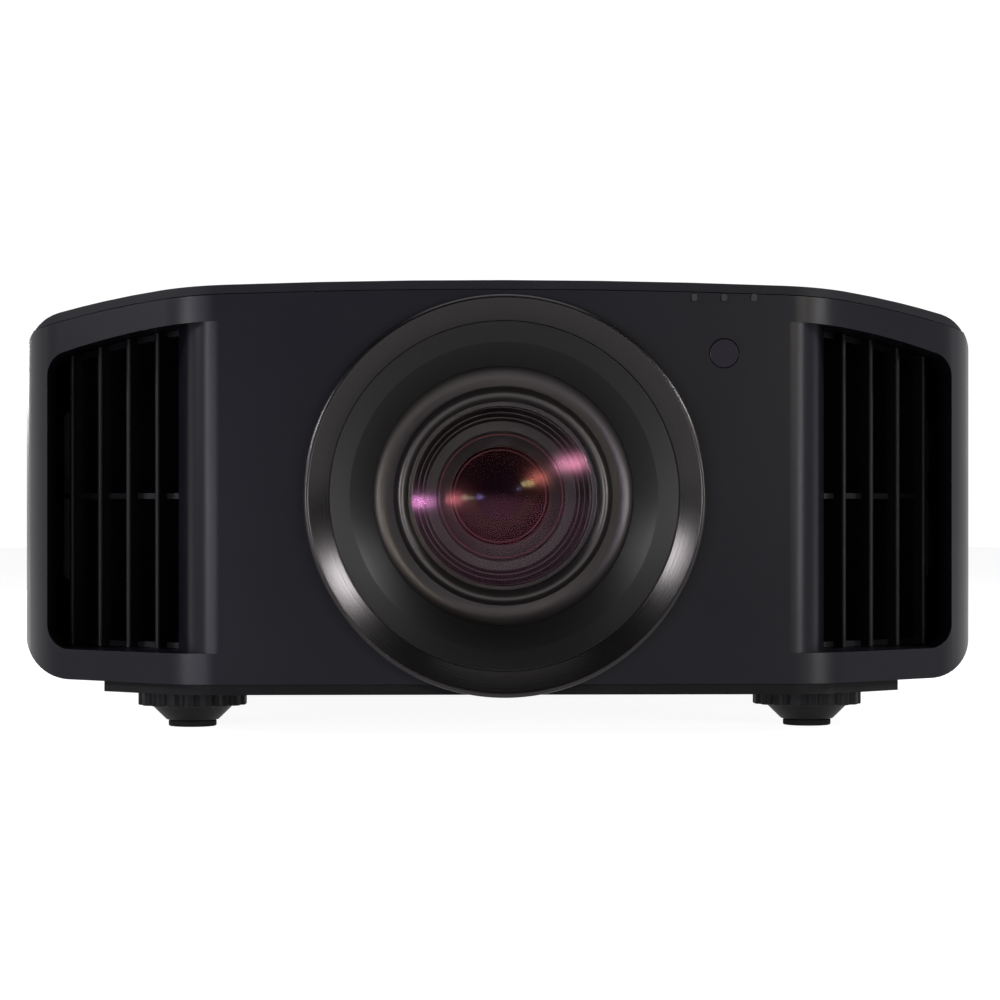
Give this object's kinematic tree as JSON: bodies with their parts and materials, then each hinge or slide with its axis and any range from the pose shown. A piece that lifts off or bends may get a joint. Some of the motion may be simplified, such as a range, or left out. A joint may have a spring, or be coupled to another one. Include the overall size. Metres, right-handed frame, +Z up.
{
  "type": "home projector",
  "caption": "Large home projector with a deep central lens, side exhaust vents, levelling feet, motorised zoom, focus and lens shift, rear filter door and keypad.",
  "frame": {"origin": "middle of the footprint, on the floor under the four foot pads", "axes": "+Z up, -Y out of the lens, +X to the right seen from the front"},
  "size_m": [0.5, 0.495, 0.234],
  "materials": {
    "casing_black": "satin fine grain",
    "plate_black": "satin",
    "tray_black": "grained",
    "vent_black": "matt",
    "bezel_dark": "spun satin",
    "baffle_black": "matt",
    "barrel_black": "anodised satin",
    "front_glass": "coated",
    "inner_glass": "coated",
    "window_purple": "clear dark",
    "pipe_clear": "frosted",
    "rear_black": "grained",
    "button_black": "soft touch",
    "filter_foam": "open foam",
    "knob_black": "moulded",
    "pad_rubber": "matt",
    "insert_brass": "turned",
    "screw_steel": "blackened",
    "inlet_black": "moulded",
    "socket_steel": "plated",
    "stage_aluminium": "machined",
    "engine_cast": "cast",
    "sink_aluminium": "extruded",
    "motor_steel": "plated",
    "gear_white": "moulded",
    "fan_black": "moulded",
    "board_green": "lacquered"
  },
  "bodies": {
    "casing": {"top_cover": "casing_black", "top_plate": "plate_black", "front_panel": "casing_black", "rear_panel": "rear_black", "socket_plate": "rear_black", "base_tray": "tray_black", "lens_bezel": "bezel_dark", "lens_baffle": "baffle_black", "left_louvre": "vent_black", "right_louvre": "vent_black", "remote_window": "window_purple", "indicator_lenses": "pipe_clear", "threaded_inserts": "insert_brass", "case_screws": "screw_steel", "mains_inlet": "inlet_black", "signal_sockets": "socket_steel", "air_filter": "filter_foam", "main_board": "board_green", "power_supply": "board_green", "engine_housing": "engine_cast", "prism_block": "inner_glass", "imaging_panels": "stage_aluminium", "laser_source": "engine_cast", "heat_sink": "sink_aluminium", "fan_frames": "fan_black", "shift_frame": "stage_aluminium", "vertical_shift_motor": "motor_steel"},
    "foot_pad_front_left": {"foot_pad_front_left": "pad_rubber"},
    "foot_knob_front_left": {"foot_knob_front_left": "knob_black"},
    "foot_pad_front_right": {"foot_pad_front_right": "pad_rubber"},
    "foot_knob_front_right": {"foot_knob_front_right": "knob_black"},
    "foot_pad_rear_left": {"foot_pad_rear_left": "pad_rubber"},
    "foot_knob_rear_left": {"foot_knob_rear_left": "knob_black"},
    "foot_pad_rear_right": {"foot_pad_rear_right": "pad_rubber"},
    "foot_knob_rear_right": {"foot_knob_rear_right": "knob_black"},
    "vertical_stage": {"vertical_carriage": "stage_aluminium", "horizontal_shift_motor": "motor_steel"},
    "horizontal_stage": {"horizontal_carriage": "stage_aluminium", "lens_barrel": "barrel_black", "lens_motors": "motor_steel"},
    "vertical_screw": {"vertical_screw": "screw_steel"},
    "horizontal_screw": {"horizontal_screw": "screw_steel"},
    "front_group": {"lens_front_ring": "barrel_black", "front_element": "front_glass"},
    "zoom_group": {"zoom_cell": "barrel_black", "inner_elements": "inner_glass"},
    "focus_ring": {"focus_ring": "gear_white"},
    "zoom_ring": {"zoom_ring": "gear_white"},
    "focus_pinion": {"focus_pinion": "gear_white"},
    "zoom_pinion": {"zoom_pinion": "gear_white"},
    "left_fan_rotor": {"left_fan_rotor": "fan_black"},
    "right_fan_rotor": {"right_fan_rotor": "fan_black"},
    "intake_fan_rotor": {"intake_fan_rotor": "fan_black"},
    "filter_door": {"filter_door": "rear_black"},
    "ok_button": {"ok_button": "button_black"},
    "up_button": {"up_button": "button_black"},
    "down_button": {"down_button": "button_black"},
    "left_button": {"left_button": "button_black"},
    "right_button": {"right_button": "button_black"},
    "power_button": {"power_button": "button_black"}
  },
  "joints": [
    {"name": "foot_pad_front_left_slide", "type": "slide", "parent": "casing", "child": "foot_pad_front_left", "axis": [0, 0, -1], "range_m": [0, 0.008]},
    {"name": "foot_knob_front_left_turn", "type": "hinge", "parent": "foot_pad_front_left", "child": "foot_knob_front_left", "pos_m": [-0.161, -0.1635, 0.016], "axis": [0, 0, 1], "range_deg": [0, 2881]},
    {"name": "foot_pad_front_right_slide", "type": "slide", "parent": "casing", "child": "foot_pad_front_right", "axis": [0, 0, -1], "range_m": [0, 0.008]},
    {"name": "foot_knob_front_right_turn", "type": "hinge", "parent": "foot_pad_front_right", "child": "foot_knob_front_right", "pos_m": [0.161, -0.1635, 0.016], "axis": [0, 0, 1], "range_deg": [0, 2881]},
    {"name": "foot_pad_rear_left_slide", "type": "slide", "parent": "casing", "child": "foot_pad_rear_left", "axis": [0, 0, -1], "range_m": [0, 0.008]},
    {"name": "foot_knob_rear_left_turn", "type": "hinge", "parent": "foot_pad_rear_left", "child": "foot_knob_rear_left", "pos_m": [-0.161, 0.1855, 0.016], "axis": [0, 0, 1], "range_deg": [0, 2881]},
    {"name": "foot_pad_rear_right_slide", "type": "slide", "parent": "casing", "child": "foot_pad_rear_right", "axis": [0, 0, -1], "range_m": [0, 0.008]},
    {"name": "foot_knob_rear_right_turn", "type": "hinge", "parent": "foot_pad_rear_right", "child": "foot_knob_rear_right", "pos_m": [0.161, 0.1855, 0.016], "axis": [0, 0, 1], "range_deg": [0, 2881]},
    {"name": "vertical_shift", "type": "slide", "parent": "casing", "child": "vertical_stage", "axis": [0, 0, 1], "range_m": [-0.0065, 0.0065]},
    {"name": "vertical_screw_turn", "type": "hinge", "parent": "casing", "child": "vertical_screw", "pos_m": [0.08, -0.067, 0.12], "axis": [0, 0, 1], "range_deg": [-2341, 2341]},
    {"name": "horizontal_shift", "type": "slide", "parent": "vertical_stage", "child": "horizontal_stage", "axis": [1, 0, 0], "range_m": [-0.0052, 0.0052]},
    {"name": "horizontal_screw_turn", "type": "hinge", "parent": "vertical_stage", "child": "horizontal_screw", "pos_m": [0, -0.083, 0.174], "axis": [1, 0, 0], "range_deg": [-1873, 1873]},
    {"name": "focus_ring_turn", "type": "hinge", "parent": "horizontal_stage", "child": "focus_ring", "pos_m": [0, -0.184, 0.12], "axis": [0, 1, 0], "range_deg": [-45.1, 45.1]},
    {"name": "focus_pinion_turn", "type": "hinge", "parent": "horizontal_stage", "child": "focus_pinion", "pos_m": [0.0495, -0.184, 0.1695], "axis": [0, 1, 0], "range_deg": [-350, 350]},
    {"name": "front_group_slide", "type": "slide", "parent": "horizontal_stage", "child": "front_group", "axis": [0, 1, 0], "range_m": [-0.0025, 0.0025]},
    {"name": "zoom_ring_turn", "type": "hinge", "parent": "horizontal_stage", "child": "zoom_ring", "pos_m": [0, -0.152, 0.12], "axis": [0, 1, 0], "range_deg": [-45.1, 45.1]},
    {"name": "zoom_pinion_turn", "type": "hinge", "parent": "horizontal_stage", "child": "zoom_pinion", "pos_m": [-0.0495, -0.152, 0.1695], "axis": [0, 1, 0], "range_deg": [-350, 350]},
    {"name": "zoom_group_slide", "type": "slide", "parent": "horizontal_stage", "child": "zoom_group", "axis": [0, 1, 0], "range_m": [-0.005, 0.005]},
    {"name": "left_fan_rotor_spin", "type": "hinge", "parent": "casing", "child": "left_fan_rotor", "pos_m": [-0.188, -0.096, 0.12], "axis": [0, 1, 0], "continuous": true},
    {"name": "right_fan_rotor_spin", "type": "hinge", "parent": "casing", "child": "right_fan_rotor", "pos_m": [0.188, -0.096, 0.12], "axis": [0, 1, 0], "continuous": true},
    {"name": "intake_fan_rotor_spin", "type": "hinge", "parent": "casing", "child": "intake_fan_rotor", "pos_m": [0.158, 0.22, 0.122], "axis": [0, 1, 0], "continuous": true},
    {"name": "filter_door_hinge", "type": "hinge", "parent": "casing", "child": "filter_door", "pos_m": [0.158, 0.244, 0.062], "axis": [-1, 0, 0], "range_deg": [0, 90]},
    {"name": "ok_button_press", "type": "slide", "parent": "casing", "child": "ok_button", "axis": [0, -1, 0], "range_m": [0, 0.0008], "stiffness_N_per_m": 600, "springref_m": -0.0015},
    {"name": "up_button_press", "type": "slide", "parent": "casing", "child": "up_button", "axis": [0, -1, 0], "range_m": [0, 0.0008], "stiffness_N_per_m": 600, "springref_m": -0.0015},
    {"name": "down_button_press", "type": "slide", "parent": "casing", "child": "down_button", "axis": [0, -1, 0], "range_m": [0, 0.0008], "stiffness_N_per_m": 600, "springref_m": -0.0015},
    {"name": "left_button_press", "type": "slide", "parent": "casing", "child": "left_button", "axis": [0, -1, 0], "range_m": [0, 0.0008], "stiffness_N_per_m": 600, "springref_m": -0.0015},
    {"name": "right_button_press", "type": "slide", "parent": "casing", "child": "right_button", "axis": [0, -1, 0], "range_m": [0, 0.0008], "stiffness_N_per_m": 600, "springref_m": -0.0015},
    {"name": "power_button_press", "type": "slide", "parent": "casing", "child": "power_button", "axis": [0, -1, 0], "range_m": [0, 0.0008], "stiffness_N_per_m": 600, "springref_m": -0.0015}
  ],
  "couplings": [
    {"joint": "foot_knob_front_left_turn", "follows": "foot_pad_front_left_slide", "rad_per_m": 6283.2},
    {"joint": "foot_knob_front_right_turn", "follows": "foot_pad_front_right_slide", "rad_per_m": 6283.2},
    {"joint": "foot_knob_rear_left_turn", "follows": "foot_pad_rear_left_slide", "rad_per_m": 6283.2},
    {"joint": "foot_knob_rear_right_turn", "follows": "foot_pad_rear_right_slide", "rad_per_m": 6283.2},
    {"joint": "vertical_screw_turn", "follows": "vertical_shift", "rad_per_m": 6283.2},
    {"joint": "horizontal_screw_turn", "follows": "horizontal_shift", "rad_per_m": 6283.2},
    {"joint": "focus_ring_turn", "follows": "front_group_slide", "rad_per_m": 314.16},
    {"joint": "focus_pinion_turn", "follows": "front_group_slide", "rad_per_m": -2434.7},
    {"joint": "zoom_ring_turn", "follows": "zoom_group_slide", "rad_per_m": 157.08},
    {"joint": "zoom_pinion_turn", "follows": "zoom_group_slide", "rad_per_m": -1217.4}
  ]
}
